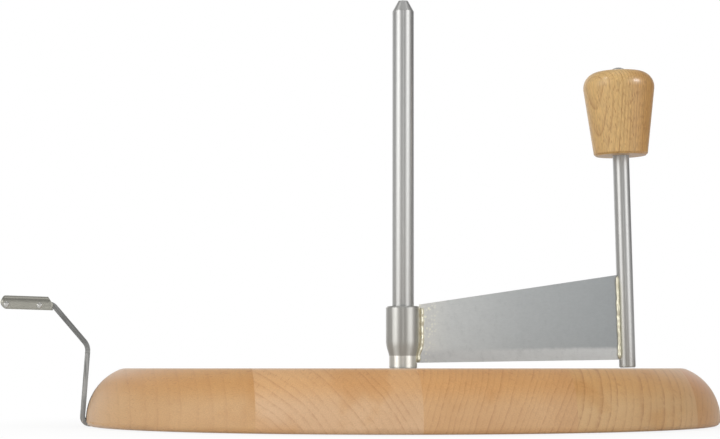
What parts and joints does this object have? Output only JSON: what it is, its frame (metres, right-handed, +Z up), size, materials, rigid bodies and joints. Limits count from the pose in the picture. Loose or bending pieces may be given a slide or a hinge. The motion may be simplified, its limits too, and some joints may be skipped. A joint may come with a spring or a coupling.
{
  "type": "rotary cheese curler",
  "caption": "Round wooden board with a fixed central spindle, a turning scraper arm with a crank knob, and a bent steel steadying handle.",
  "frame": {"origin": "centre of the board's underside, on the spindle's axis", "axes": "+Z up along the spindle; +X towards the scraper arm at rest, -X towards the steadying handle; +Y along the grain of the board's staves"},
  "size_m": [0.2603, 0.23, 0.1571],
  "materials": {
    "board_beech": "oiled, fine-sanded beech",
    "knob_beech": "lacquered turned beech",
    "bright_steel": "drawn and turned stainless steel, fine brushed",
    "blade_steel": "satin ground stainless steel",
    "strap_steel": "bent sheet steel, slightly dull",
    "fastener_steel": "plain stainless fasteners",
    "braze": "silver-brass braze, as flowed"
  },
  "bodies": {
    "base": {"stave_left_outer": "board_beech", "stave_left_inner": "board_beech", "stave_centre": "board_beech", "stave_right_inner": "board_beech", "stave_right_outer": "board_beech", "spindle": "bright_steel", "spindle_washer": "fastener_steel", "spindle_nut": "fastener_steel", "stay_strap": "strap_steel", "strap_screws": "fastener_steel", "thumb_grip": "strap_steel", "grip_pins": "fastener_steel"},
    "thrust_ring": {"thrust_washer": "bright_steel"},
    "scraper_arm": {"hub": "bright_steel", "blade": "blade_steel", "hub_braze": "braze", "crank_post": "bright_steel", "post_braze": "braze", "knob_washer": "fastener_steel", "knob_screw": "fastener_steel"},
    "crank_knob": {"knob": "knob_beech"}
  },
  "joints": [
    {"name": "arm_spin", "type": "hinge", "parent": "base", "child": "thrust_ring", "pos_m": [0, 0, 0.0205], "axis": [0, 0, 1], "continuous": true},
    {"name": "arm_lift", "type": "slide", "parent": "thrust_ring", "child": "scraper_arm", "axis": [0, 0, 1], "range_m": [0, 0.11]},
    {"name": "knob_spin", "type": "hinge", "parent": "scraper_arm", "child": "crank_knob", "pos_m": [0.0852, 0, 0.0205], "axis": [-0.0236, 0, 0.9997], "continuous": true}
  ]
}
